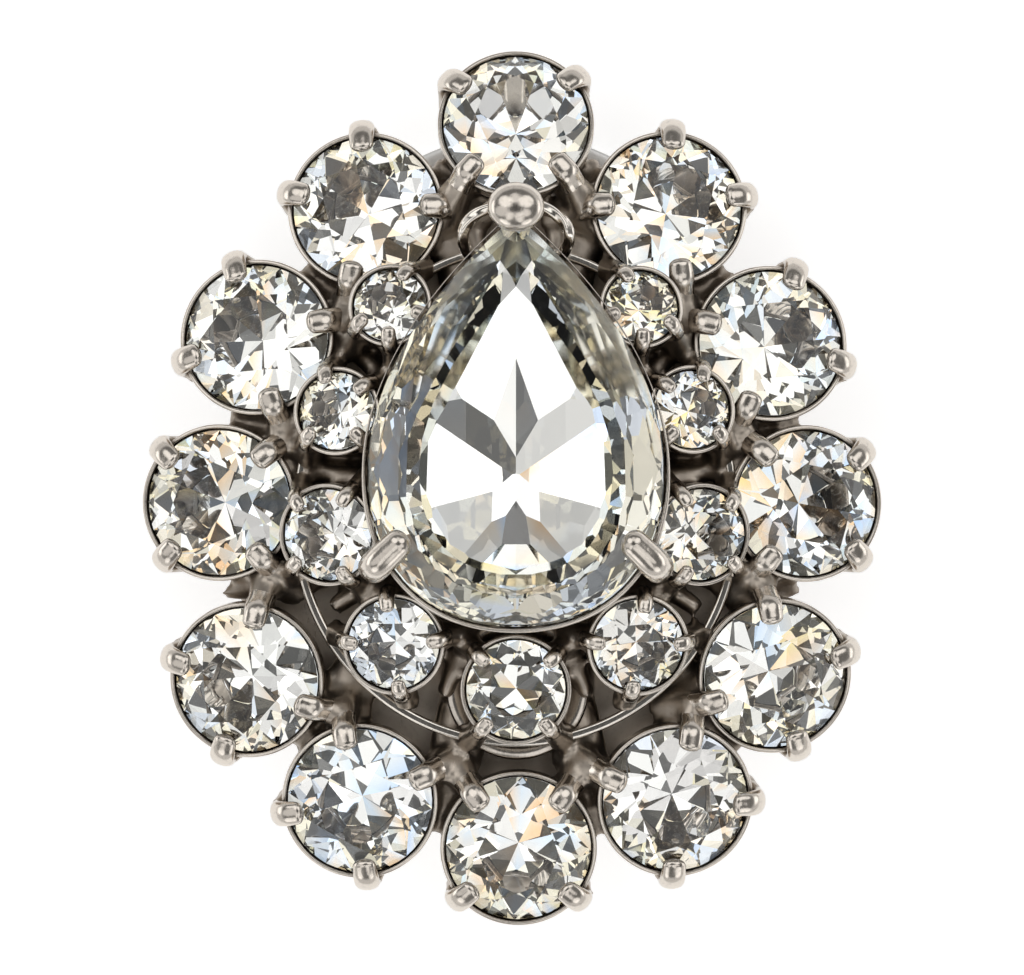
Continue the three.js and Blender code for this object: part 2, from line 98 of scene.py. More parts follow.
# Inner ring: middle, diameter, lean, prongs
INNER_STONES = [
    (5.52, 8.05, 3.2, 16, (118, 200, 326, 268)),
    (7.74, 3.53, 3.4, 15, (74, 141, 226, 316)),
    (8.15, -1.97, 4.0, 18, (48, 120, 243, 318)),
    (5.37, -6.83, 4.0, 10, (83, 3, 262, 174)),
    (0.00, -8.80, 4.36, 2, (41, 137, 229, 311)),
    (-5.38, -6.79, 4.0, 10, (97, 177, 278, 7)),
    (-8.27, -1.98, 4.0, 18, (132, 60, 297, 222)),
    (-7.88, 3.46, 3.4, 15, (106, 39, 314, 224)),
    (-5.54, 8.12, 3.2, 16, (62, -20, 214, 272)),
]

# Metal
STONE_GAP = 0.09
SEAT_ROOM = 0.14
PEAR_SEAT_FULLNESS = 3.0
RIM_WIDTH = 0.18
RIM_TOP = 0.14
RIM_FOOT = -0.5
# A prong is on the inward side where its direction's cosine with the outward one is less
INWARD_SIDE = 0.15
PRONG_STEPS = 17
ROOT_STEPS = 10
HOOP_RADIUS = 9.71
HOOP_TOP = 12.2
HOOP_CENTRE_Y = -1.5
HOOP_RISE = 3.5
HOOP_WIRE = 0.5
LOOP_HALF_WIDTH = 2.32
LOOP_HALF_HEIGHT = 1.48
LOOP_CENTRE_Y = 11.12
LOOP_RISE = 5.95
LOOP_WIRE = 0.6
LOOP_DROP = 2.2
PLATE_THICKNESS = 0.9
DISC_RADIUS = 3.17
KNOB_RADIUS = 1.24
KNOB_HEIGHT = 1.3
# Place of the bars on the pear: share of its belly below the middle, and turn from straight across
BAR_SHARE = 0.541
BAR_TURN = 44
DISC_PLACE = (0.07, -8.82, 0)
CAST_VOXEL = 0.23
# Distance from the middle at which the outward ribs end
RIB_END = 9.7

# Clip
PADDLE_HALF_WIDTH = 6.3
PADDLE_TOP_RADIUS = 9.9
PADDLE_TOP_Y = 16.3
PADDLE_CORNER = 2.2
PADDLE_END = 3.0
PADDLE_EDGE = 0.25
CLIP_SHEET = 1.2
CLIP_TOP = -0.1
CLIP_BOTTOM = -6.0
BEND_Y = -8.6
PAD_TOP_Y = 2.4

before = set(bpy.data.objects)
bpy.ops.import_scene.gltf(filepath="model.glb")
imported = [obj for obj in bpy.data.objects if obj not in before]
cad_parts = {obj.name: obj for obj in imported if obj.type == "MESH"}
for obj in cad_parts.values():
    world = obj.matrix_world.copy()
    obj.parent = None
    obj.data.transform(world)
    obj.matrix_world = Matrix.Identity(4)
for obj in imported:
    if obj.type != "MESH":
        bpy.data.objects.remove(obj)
cad_box = [list(corner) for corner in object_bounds()]

pear_low, pear_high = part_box("pear_stone")
ORIGIN = np.array([
    (pear_low.x + pear_high.x) / 2,
    pear_high.y - (PEAR_CENTRE_Y + PEAR_SHOULDER) * MM,
    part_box("metal_frame")[0].z,
])
PEAR_PLACE = Matrix.Translation((0, PEAR_CENTRE_Y, PEAR_RISE))


# Finishes

class Socket:
    """An output of a node. Working with it as a number adds Math nodes."""

    def __init__(self, finish, socket):
        self.finish, self.socket = finish, socket

    def maths(self, operation, first, second):
        return self.finish.node("ShaderNodeMath", {"operation": operation}, {0: first, 1: second})

    def __add__(self, other):
        return self.maths("ADD", self, other)

    def __sub__(self, other):
        return self.maths("SUBTRACT", self, other)

    def __rsub__(self, other):
        return self.maths("SUBTRACT", other, self)

    def __mul__(self, other):
        return self.maths("MULTIPLY", self, other)

    __radd__ = __add__
    __rmul__ = __mul__

    def between(self, low, high):
        """0 below low, 1 above high, and even in between."""
        sockets = {0: self, 1: low, 2: high, 3: 0.0, 4: 1.0}
        return self.finish.node("ShaderNodeMapRange", {"clamp": True}, sockets)


class Finish:
    """The nodes of a material, or of the room's light."""

    def __init__(self, holder):
        self.holder = bpy.data.materials.new(holder) if isinstance(holder, str) else holder
        self.holder.use_nodes = True
        self.tree = self.holder.node_tree
        self.tree.nodes.clear()

    def node(self, kind, settings=None, sockets=None, output=0):
        made = self.tree.nodes.new(kind)
        for name, value in (settings or {}).items():
            setattr(made, name, value)
        for name, value in (sockets or {}).items():
            if isinstance(value, Socket):
                self.tree.links.new(value.socket, made.inputs[name])
            else:
                made.inputs[name].default_value = value
        return Socket(self, made.outputs[output]) if made.outputs else made

    def blend(self, first, second, share):
        """A colour from first to second."""
        settings = {"data_type": "RGBA"}
        return self.node("ShaderNodeMix", settings, {0: share, 6: first, 7: second}, 2)

    def grain(self, scale, detail=3.0, stretch=(1.0, 1.0, 1.0)):
        """Noise with about scale lumps to the millimetre."""
        place = self.node("ShaderNodeTexCoord", output=3)
        spread = [part * scale / MM for part in stretch]
        place = self.node("ShaderNodeVectorMath", {"operation": "MULTIPLY"}, {0: place, 1: spread})
        return self.node("ShaderNodeTexNoise", {}, {"Vector": place, "Scale": 1.0, "Detail": detail})

    def bump(self, height, strength):
        sockets = {"Height": height, "Strength": strength, "Distance": BUMP_DEPTH * MM}
        return self.node("ShaderNodeBump", {}, sockets)

    def surface(self, sockets):
        shader = self.node("ShaderNodeBsdfPrincipled", {}, sockets)
        self.node("ShaderNodeOutputMaterial", {}, {"Surface": shader})
        return self.holder


def colour(red, green, blue):
    return (red, green, blue, 1.0)


def silver(name, bright, dark, sheen, tarnish_and_shade, hollow_reach):
    """Silver that is dark in its hollows and bright where it is open: the dark is partly patina and
    partly painted shade, the bright partly rubbed metal and partly painted light.

    The tarnish and shade range gives the openness below which it is all dark, and above which it is
    all rubbed and lit."""
    finish = Finish(name)
    reach = {"Distance": hollow_reach * MM}
    # Painted shade: ambient occlusion darkens the hollows, along with the patina that the silver has
    # there.
    hollow = finish.node("ShaderNodeAmbientOcclusion", {"samples": 8}, reach, 1)
    cloud = finish.grain(0.7)
    speck = finish.grain(6.0, 4.0)
    scratch = finish.grain(9.0, 2.0, (1.0, 0.12, 0.3))
    rubbed_and_lit = (hollow + (cloud - 0.5) * 0.5).between(*tarnish_and_shade)
    worn_and_shaded = finish.blend(colour(*dark), colour(*bright), rubbed_and_lit)
    dull = colour(*[0.8 * part for part in bright])
    return finish.surface({
        "Base Color": finish.blend(worn_and_shaded, dull, speck.between(0.55, 0.8)),
        "Metallic": 1.0,
        "Roughness": (1 - rubbed_and_lit) * 0.2 + sheen + (scratch - 0.5) * 0.12,
        "Normal": finish.bump(speck + scratch, 0.12),
    })


def satin():
    """Brushed sheet metal."""
    finish = Finish("satin_sheet")
    brushed = finish.grain(12.0, 2.0, (1.0, 0.05, 1.0))
    cloud = finish.grain(0.25)
    return finish.surface({
        "Base Color": finish.blend(colour(0.66, 0.65, 0.63), colour(0.76, 0.75, 0.73), cloud),
        "Metallic": 1.0,
        "Roughness": brushed * 0.15 + 0.3,
        "Normal": finish.bump(brushed, 0.2),
    })


def crystal():
    finish = Finish("clear_crystal")
    return finish.surface({
        "Base Color": colour(0.99, 0.995, 0.99),
        "Roughness": 0.0,
        "IOR": 1.56,
        "Transmission Weight": 1.0,
    })


def foil():
    """Mirror foil behind the pavilion, with a tint and a sheen for each facet, and painted fire on
    some corners.
    """
    finish = Finish("mirror_foil")
    tint = finish.node("ShaderNodeAttribute", {"attribute_name": "foil_tint_and_fire"})
    sheen = finish.node("ShaderNodeAttribute", {"attribute_name": "foil_tint_and_fire"}, {}, 3)
    return finish.surface({"Base Color": tint, "Metallic": 1.0, "Roughness": 1 - sheen})


# Meshes

def in_metres(points):
    return np.asarray(points, float) * MM + ORIGIN


def moved(points, matrix):
    turned = np.array(matrix)
    return np.asarray(points, float) @ turned[:3, :3].T + turned[:3, 3]


def girdle_place(x, y, rise, lean):
    """Matrix that lays a stone's girdle at a place, leaning away from the middle."""
    heading = math.atan2(y, x)
    axis = Vector((-math.sin(heading), math.cos(heading), 0))
    return Matrix.Translation((x, y, rise)) @ Matrix.Rotation(math.radians(lean), 4, axis)


def dressed(name, mesh, materials, slot, *nodes):
    """A piece of the earring, from a mesh in metres."""
    piece = bpy.data.objects.new(name, mesh)
    bpy.context.scene.collection.objects.link(piece)
    for material in materials:
        mesh.materials.append(material)
    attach(piece, "root")
    if nodes:
        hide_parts(*nodes)
    return piece


class Form:
    """Points and faces of several closed skins, in millimetres."""

    def __init__(self):
        self.points, self.faces, self.count = [], [], 0

    def add(self, points, faces):
        self.points.append(np.asarray(points, float))
        self.faces += [tuple(i + self.count for i in face) for face in faces]
        self.count += len(points)

    def skin(self, rings, around=False):
        """Skin over rings of points. It ends in its first and last ring, or goes all the way round."""
        rings = np.asarray(rings, float)
        spans, sides = rings.shape[:2]
        faces = []
        for r in range(spans if around else spans - 1):
            here, there = r * sides, (r + 1) % spans * sides
            faces += [(here + i, here + (i + 1) % sides, there + (i + 1) % sides, there + i)
                      for i in range(sides)]
        if not around:
            faces += [tuple(range(sides))[::-1], tuple((spans - 1) * sides + i for i in range(sides))]
        self.add(rings.reshape(-1, 3), faces)

    def lathe(self, profile, sides, matrix, around=False):
        """Profile of radius and height turned about the matrix's Z."""
        turn = np.linspace(0, 2 * math.pi, sides, endpoint=False)
        rings = []
        for r, z in profile:
            ring = np.stack([r * np.cos(turn), r * np.sin(turn), np.full(sides, z)], 1)
            rings.append(moved(ring, matrix))
        self.skin(rings, around)

    def sweep(self, path, across, half_width, half_height, matrix=Matrix(), sides=14, fullness=2.4,
              around=False, twist=None, waist=0.0):
        """A rounded bar along a path. Across is the direction of its width."""
        path = np.asarray(path, float)
        if around:
            along = np.roll(path, -1, 0) - np.roll(path, 1, 0)
        else:
            along = np.gradient(path, axis=0)
        along /= np.linalg.norm(along, axis=1)[:, None]
        across = np.broadcast_to(np.asarray(across, float), path.shape)
        across = across - (across * along).sum(1)[:, None] * along
        across = across / np.linalg.norm(across, axis=1)[:, None]
        up = np.cross(along, across)
        width = np.broadcast_to(half_width, len(path))
        height = np.broadcast_to(half_height, len(path))
        twist = np.zeros(len(path)) if twist is None else twist
        turn = np.linspace(0, 2 * math.pi, sides, endpoint=False)
        rings = []
        for i, point in enumerate(path):
            lobe = 1 - waist * np.cos(2 * (turn - twist[i])) ** 2
            c, s = np.cos(turn), np.sin(turn)
            c = np.sign(c) * abs(c) ** (2 / fullness) * lobe * width[i]
            s = np.sign(s) * abs(s) ** (2 / fullness) * lobe * height[i]
            rings.append(moved(point + c[:, None] * across[i] + s[:, None] * up[i], matrix))
        self.skin(rings, around)

    def mesh(self, name, scaled=True):
        made = bpy.data.meshes.new(name)
        points = np.concatenate(self.points)
        made.from_pydata(in_metres(points) if scaled else points, [], self.faces)
        made.update()
        shape = bmesh.new()
        shape.from_mesh(made)
        bmesh.ops.recalc_face_normals(shape, faces=shape.faces)
        shape.to_mesh(made)
        shape.free()
        made.polygons.foreach_set("use_smooth", [True] * len(made.polygons))
        return made


def smooth_line(rows, count):
    """Rows of numbers drawn out to count rows on a smooth curve through them."""
    rows = np.asarray(rows, float)
    padded = np.vstack([2 * rows[0] - rows[1], rows, 2 * rows[-1] - rows[-2]])
    drawn = []
    for place in np.linspace(0, len(rows) - 1, count):
        i = min(int(place), len(rows) - 2)
        t = place - i
        a, b, c, d = padded[i:i + 4]
        drawn.append(0.5 * (2 * b + (c - a) * t + (2 * a - 5 * b + 4 * c - d) * t ** 2
                            + (3 * b - a - 3 * c + d) * t ** 3))
    return np.array(drawn)


def rounded_off(rows, reach, steps=5):
    """Rows of out, height, half width and half thickness, closed with a rounded tip."""
    ahead = rows[-1, :2] - rows[-2, :2]
    ahead /= np.linalg.norm(ahead)
    tip = []
    for step in range(1, steps + 1):
        angle = math.pi / 2 * step / (steps + 0.35)
        place = rows[-1, :2] + ahead * reach * math.sin(angle)
        tip.append(np.concatenate([place, rows[-1, 2:] * math.cos(angle)]))
    return np.vstack([rows, tip])


# Crystals

def plane_through(a, b, c):
    """Normal away from the middle, and distance, of the plane through three points."""
    normal = (b - a).cross(c - a).normalized()
    if normal.dot(a) < 0:
        normal = -normal
    return normal, normal.dot(a)


def cut_gem(facets, reach):
    """Block cut to planes, given as (kind, normal, distance). The kinds go to a face layer."""
    gem = bmesh.new()
    bmesh.ops.create_cube(gem, size=2 * reach)
    kinds = gem.faces.layers.int.new("kind")
    for face in gem.faces:
        face[kinds] = -1
    for kind, normal, distance in facets:
        whole = gem.verts[:] + gem.edges[:] + gem.faces[:]
        cut = bmesh.ops.bisect_plane(gem, geom=whole, dist=1e-4, plane_co=normal * distance,
                                     plane_no=normal, clear_outer=True)
        edges = [part for part in cut["geom_cut"] if isinstance(part, bmesh.types.BMEdge)]
        if len(edges) > 2:
            for face in bmesh.ops.contextual_create(gem, geom=edges)["faces"]:
                face[kinds] = kind
    bmesh.ops.remove_doubles(gem, verts=gem.verts, dist=2e-4)
    bmesh.ops.dissolve_degenerate(gem, edges=gem.edges, dist=1e-4)
    bmesh.ops.recalc_face_normals(gem, faces=gem.faces)
    return gem


CROWN, MAIN, LOWER = 0, 1, 2


def round_facets(diameter):
    """Planes of a round brilliant."""
    radius = diameter / 2
    crown, pavilion = CROWN_SHARE * diameter, PAVILION_SHARE * diameter
    half = math.pi / FOLDS

    def at(share, step, height):
        across, along = math.cos(step * half), math.sin(step * half)
        return Vector((share * radius * across, share * radius * along, height))

    def crown_height(share):
        return HALF_GIRDLE + crown * (1 - share * math.cos(half)) / (1 - TABLE_SHARE)

    def pavilion_height(share):
        return -HALF_GIRDLE - pavilion * (1 - share * math.cos(half))

    culet = Vector((0, 0, -HALF_GIRDLE - pavilion))
    facets = [(CROWN, Vector((0, 0, 1)), HALF_GIRDLE + crown)]
    sides = 6 * FOLDS
    for i in range(sides):
        angle = 2 * math.pi * (i + 0.5) / sides
        outward = Vector((math.cos(angle), math.sin(angle), 0))
        facets.append((CROWN, outward, radius * math.cos(math.pi / sides)))
    for k in range(0, 2 * FOLDS, 2):
        table = at(TABLE_SHARE, k, HALF_GIRDLE + crown)
        star = at(STAR_SHARE, k + 1, crown_height(STAR_SHARE))
        before = at(STAR_SHARE, k - 1, crown_height(STAR_SHARE))
        after = at(TABLE_SHARE, k + 2, HALF_GIRDLE + crown)
        facets.append((CROWN, *plane_through(table, star, before)))
        facets.append((CROWN, *plane_through(table, star, after)))
        low, high = at(1, k, -HALF_GIRDLE), at(1, k, HALF_GIRDLE)
        facets.append((MAIN, *plane_through(culet, low, low + Vector((-low.y, low.x, 0)))))
        for side in (-1, 1):
            edge = at(1, k + side, HALF_GIRDLE)
            tip = at(STAR_SHARE, k + side, crown_height(STAR_SHARE))
            facets.append((CROWN, *plane_through(high, edge, tip)))
            edge = at(1, k + side, -HALF_GIRDLE)
            tip = at(LOWER_HALF_SHARE, k + side, pavilion_height(LOWER_HALF_SHARE))
            facets.append((LOWER, *plane_through(low, edge, tip)))
    return facets


def pear_line(count, offset=0.0, grow=0.0, turning=0.0):
    """Points of the pear's outline from its tip, anticlockwise, and outward normals.

    They are evenly spaced, or closer where the outline turns, by the share turning."""
    fine = []
    for t in np.linspace(0, 1, OUTLINE_STEPS):
        side = -1 if t < 0.5 else 1
        share = 1 - 2 * (1 - abs(2 * t - 1))
        if share > 0:
            fine.append((side * PEAR_WIDTH / 2 * (1 - share ** PEAR_TAPER), share * PEAR_SHOULDER))
        else:
            angle, full = -share * math.pi / 2, 2 / PEAR_FULLNESS
            fine.append((side * PEAR_WIDTH / 2 * max(math.cos(angle), 0) ** full,
                         -PEAR_BELLY * math.sin(angle) ** full))
    fine = np.array(fine)
    run = np.concatenate([[0], np.cumsum(np.linalg.norm(np.diff(fine, axis=0), axis=1))])
    steps = np.diff(fine, axis=0)
    heading = np.unwrap(np.arctan2(steps[:, 1], steps[:, 0]))
    turned = np.concatenate([[0], (heading - heading[0]) / (heading[-1] - heading[0])])
    measure = turning * turned + (1 - turning) * run / run[-1]
    wanted = np.interp((np.arange(count) + offset) / count, measure, run)

    def at(places):
        return np.stack([np.interp(places, run, fine[:, i], period=run[-1]) for i in (0, 1)], 1)

    points = at(wanted)
    along = at(wanted + OUTLINE_REACH) - at(wanted - OUTLINE_REACH)
    normals = np.stack([along[:, 1], -along[:, 0]], 1)
    normals /= np.linalg.norm(normals, axis=1)[:, None]
    return points + grow * normals, normals


# Crown of the pear: facets round, offset, distance in from the girdle, slope
PEAR_CROWN_ROWS = [(48, 0.0, 0.0, 50), (24, 0.5, 0.55, 40), (24, 0.0, 1.35, 29)]
# Pavilion of the pear: direction and slope of a facet, and where it starts. All but those that
# fall straight DOWNWARD have a mirror image on the other side.
DOWNWARD = 270
PEAR_BOWL = [
    (105, 13, 0.0, 0.63), (160, 16, 0.0, 0.63), (218, 15, 0.0, -0.51),
    (122, 17, 0.0, 5.00), (270, 17, 0.0, -1.28), (240, 18, -1.15, -2.24),
    (182, 19, -2.55, 1.50), (146, 19, -2.60, 3.60), (208, 19, -3.00, -1.40),
    (270, 24, 0.0, -3.20),
]
# Breaks near the girdle: facets round, offset, distance in from the girdle, slope
PEAR_BREAKS = [(20, 0.5, 2.6, 43), (20, 0.0, 1.7, 48), (20, 0.5, 0.8, 53), (40, 0.0, 0.0, 60)]
# Share by which the facets crowd where the outline turns
TURNING = 0.5
PEAR_SIDES = 96


class Cut:
    """One side of a stone: planes that each start on the ones before them, up or down."""

    def __init__(self, upward, rest):
        self.upward, self.rest = upward, rest
        self.planes = []
        self.facets = []

    def height(self, x, y):
        rises = [rise + grade * ((x - px) * dx + (y - py) * dy)
                 for px, py, rise, grade, dx, dy in self.planes]
        return min(rises + [self.rest])

    def start(self, kind, x, y, azimuth, slope, rise):
        """Adds a plane that falls towards azimuth. Heights are counted away from the girdle."""
        fall, dx, dy = math.tan(math.radians(slope)), math.cos(azimuth), math.sin(azimuth)
        self.planes.append((x, y, rise, -fall, dx, dy))
        normal = Vector((fall * dx, fall * dy, self.upward)).normalized()
        place = Vector((x, y, self.upward * (HALF_GIRDLE + rise)))
        self.facets.append((kind, normal, normal.dot(place)))

    def row(self, kind, count, offset, inward, slope):
        for point, normal in zip(*pear_line(count, offset, turning=TURNING)):
            if math.hypot(point[0], point[1] - PEAR_SHOULDER) > max(inward, TIP_CLEAR):
                x, y = point - inward * normal
                rise = max(self.height(x, y), 0.0) if inward else 0.0
                self.start(kind, x, y, math.atan2(normal[1], normal[0]), slope, rise)


def pear_facets():
    """Planes of the pear: rows of kites down the crown, the girdle and the bowl of the pavilion."""
    crown = Cut(1, PEAR_CROWN)
    for row in PEAR_CROWN_ROWS:
        crown.row(CROWN, *row)
    pavilion = Cut(-1, PEAR_PAVILION)
    for azimuth, slope, x, y in PEAR_BOWL:
        direction = math.radians(azimuth)
        rise = pavilion.height(x, y)
        pavilion.start(MAIN, x, y, direction, slope, rise)
        if azimuth != DOWNWARD:
            pavilion.start(MAIN, -x, y, math.pi - direction, slope, rise)
    for row in PEAR_BREAKS:
        pavilion.row(LOWER, *row)
    girdle = [(CROWN, Vector((*normal, 0)), float(point @ normal))
              for point, normal in zip(*pear_line(PEAR_SIDES, 0.5))]
    table = (CROWN, Vector((0, 0, 1)), HALF_GIRDLE + PEAR_CROWN)
    return [table] + girdle + crown.facets + pavilion.facets


# Foil tints, one drawn for each facet: whites and light greys that vary the facets' brightness at
# random, and on the small facets yellows and blues that are painted fire.
FOIL_TINTS_AND_FIRE = {
    MAIN: [(0.97, 0.97, 0.96), (0.90, 0.89, 0.86), (0.98, 0.98, 0.96), (0.84, 0.83, 0.82)],
    LOWER: [(0.97, 0.97, 0.95), (0.90, 0.85, 0.70), (0.82, 0.88, 0.97), (0.97, 0.91, 0.79),
            (0.80, 0.78, 0.69)],
}
# Painted fire: colours of dispersed light painted on corners of the foil's facets, and the share of
# facets with them
PAINTED_FIRE = [(1.0, 0.74, 0.48), (0.62, 0.77, 1.0), (0.98, 0.88, 0.74), (0.96, 0.88, 0.56),
        (0.70, 0.84, 1.0)]
PAINTED_FIRE_SHARE = 0.28
# The foil is at most this dull on the pear's small facets, times how far up towards the tip they
# lie. That share is held between the two.
PEAR_DULLEST = 0.25
DULL_SHARES = (0.05, 0.7)


def gem(name, facets, reach, matrix, finishes, node, draws, dullest=0.0):
    """A crystal: clear glass in front, mirror foil with painted fire on the pavilion, duller on some
    small facets.
    """
    shape = cut_gem(facets, reach)
    kinds = shape.faces.layers.int["kind"]
    tints = []
    for face in shape.faces:
        foiled = face[kinds] in FOIL_TINTS_AND_FIRE
        face.material_index = 1 if foiled else 0
        tint = draws.choice(FOIL_TINTS_AND_FIRE[face[kinds]]) if foiled else (1, 1, 1)
        corners = [colour(*tint)] * len(face.verts)
        # Painted fire: two corners of some foil facets get a colour of dispersed light.
        if foiled and draws.random() < PAINTED_FIRE_SHARE:
            first = draws.randrange(len(corners))
            corners[first] = colour(*draws.choice(PAINTED_FIRE))
            corners[first - 1] = colour(*draws.choice(PAINTED_FIRE))
        nearness = float(np.clip(face.calc_center_median().y / PEAR_SHOULDER, *DULL_SHARES))
        dull = draws.random() * (nearness if face[kinds] == LOWER else 0) * dullest
        tints += [(*corner[:3], 1 - dull) for corner in corners]
    mesh = bpy.data.meshes.new(name)
    shape.to_mesh(mesh)
    shape.free()
    mesh.attributes.remove(mesh.attributes["kind"])
    layer = mesh.attributes.new("foil_tint_and_fire", "FLOAT_COLOR", "CORNER")
    layer.data.foreach_set("color", np.array(tints, np.float32).ravel())
    places = np.array([vertex.co for vertex in mesh.vertices])
    mesh.vertices.foreach_set("co", in_metres(moved(places, matrix)).astype(np.float32).ravel())
    mesh.update()
    return dressed(name, mesh, finishes, "clear_crystal", node)


def crystals():
    draws = random.Random(7)
    finishes = [crystal(), foil()]
    fold = 360 / FOLDS
    gem("pear_crystal", pear_facets(), 14, PEAR_PLACE, finishes, "pear_stone", draws, PEAR_DULLEST)
    for i, (x, y, lean, _) in enumerate(OUTER_STONES):
        spin = Matrix.Rotation(math.radians(draws.uniform(0, fold)), 4, "Z")
        place = girdle_place(x, y, OUTER_RISE, lean) @ spin
        gem(f"outer_crystal_{i + 1:02d}", round_facets(OUTER_DIAMETER), 5, place, finishes,
            f"outer_stone_{i + 1:02d}", draws)
    for i, (x, y, diameter, lean, _) in enumerate(INNER_STONES):
        spin = Matrix.Rotation(math.radians(draws.uniform(0, fold)), 4, "Z")
        place = girdle_place(x, y, INNER_RISE, lean) @ spin
        gem(f"inner_crystal_{i + 1:02d}", round_facets(diameter), 4, place, finishes,
            f"inner_stone_{i + 1:02d}", draws)


# Metal

def seats():
    """Every round stone's place, diameter, prongs and direction from the middle."""
    found = []
    for x, y, lean, prongs in OUTER_STONES:
        place = girdle_place(x, y, OUTER_RISE, lean)
        found.append((place, OUTER_DIAMETER, prongs, math.atan2(y, x)))
    for x, y, diameter, lean, prongs in INNER_STONES:
        place = girdle_place(x, y, INNER_RISE, lean)
        found.append((place, diameter, prongs, math.atan2(y, x)))
    return found


def prong_edge(place, diameter, angle):
    """Matrix of the place on a stone's girdle where a prong stands, with X outward."""
    turn = Matrix.Rotation(math.radians(angle), 4, "Z")
    return place @ turn @ Matrix.Translation((diameter / 2, 0, 0))


def upright(rows):
    """Path in the XZ plane through rows that start with out and height."""
    return np.stack([rows[:, 0], np.zeros(len(rows)), rows[:, 1]], 1)


def prong_rows(diameter, angle, heading):
    """Out, height, half width and half thickness of a prong, from its root to its tip.

    Then the reach of its rounded tip. In the outer ring those on the inward side have thick roots."""
    inward_side = math.cos(math.radians(angle) - heading) < INWARD_SIDE
    slope = CROWN_SHARE * 2 / (1 - TABLE_SHARE)
    if diameter == OUTER_DIAMETER:
        root = (1.7, -1.9, 0.72, 0.70) if inward_side else (0.28, -2.3, 0.55, 0.30)
        mid = (1.0, -0.65, 0.64, 0.52) if inward_side else (0.38, -0.9, 0.57, 0.30)
        rows = [root, mid, (0.48, 0.10, 0.57, 0.36), (0.12, 0.58, 0.57, 0.33),
                (-0.42, 0.44 + 0.42 * slope, 0.52, 0.26)]
        return rows, 0.33
    rows = [(0.85, -1.8, 0.46, 0.42), (0.52, -0.7, 0.41, 0.32), (0.28, 0.1, 0.37, 0.24),
            (0.04, 0.42, 0.36, 0.22), (-0.26, 0.34 + 0.26 * slope, 0.32, 0.17)]
    return rows, 0.24


def round_prongs():
    form = Form()
    for place, diameter, prongs, heading in seats():
        for angle in prongs:
            rows, tip = prong_rows(diameter, angle, heading)
            rows = rounded_off(smooth_line(rows, PRONG_STEPS)[ROOT_STEPS - 4:], tip)
            edge = prong_edge(place, diameter, angle)
            form.sweep(upright(rows), (0, 1, 0), rows[:, 2], rows[:, 3], edge, sides=18, fullness=2.1)
    return form


def rims():
    form = Form()
    for place, diameter, _, _ in seats():
        inner = diameter / 2 + STONE_GAP
        outer = inner + RIM_WIDTH
        bead = RIM_WIDTH / 3
        near, below = 0.3 * bead, RIM_TOP - 0.3 * bead
        profile = [(inner, RIM_FOOT), (inner, RIM_TOP - bead), (inner + near, below),
                   (inner + bead, RIM_TOP), (outer - bead, RIM_TOP), (outer - near, below),
                   (outer, RIM_TOP - bead), (outer, RIM_FOOT)]
        form.lathe(profile, 96, place, around=True)
    return form


def pear_rim():
    """The edge of the pear's cup. It is thin beside the tip and thicker round the belly."""
    form = Form()
    points, _ = pear_line(220, grow=STONE_GAP + 0.08)
    path = np.column_stack([points, np.full(len(points), -0.12)])
    low = np.clip((4.0 - points[:, 1]) / 6.0, 0, 1)
    form.sweep(path, (0, 0, 1), 0.18 + 0.08 * low, 0.03 + 0.08 * low, PEAR_PLACE, sides=10,
               fullness=2.6, around=True)
    return form


def wires():
    form = Form()
    angles = np.linspace(0, 2 * math.pi, 240, endpoint=False)
    reach = np.where(np.sin(angles) > 0, HOOP_TOP, HOOP_RADIUS)
    hoop = np.column_stack([HOOP_RADIUS * np.cos(angles), HOOP_CENTRE_Y + reach * np.sin(angles),
                            np.full(len(angles), HOOP_RISE)])
    form.sweep(hoop, (0, 0, 1), HOOP_WIRE / 2, HOOP_WIRE / 2, sides=20, fullness=2.2, around=True,
               waist=0.16, twist=np.zeros(len(angles)))
    angles = np.linspace(0, 2 * math.pi, 144, endpoint=False)
    drop = LOOP_DROP * np.clip(0.2 - np.sin(angles), 0, 1) ** 1.5
    loop = np.column_stack([LOOP_HALF_WIDTH * np.cos(angles),
                            LOOP_CENTRE_Y + LOOP_HALF_HEIGHT * np.sin(angles), LOOP_RISE - drop])
    form.sweep(loop, (0, 0, 1), LOOP_WIRE / 2, LOOP_WIRE / 2, sides=20, fullness=2.0, around=True,
               waist=0.2, twist=angles * 2)
    return form


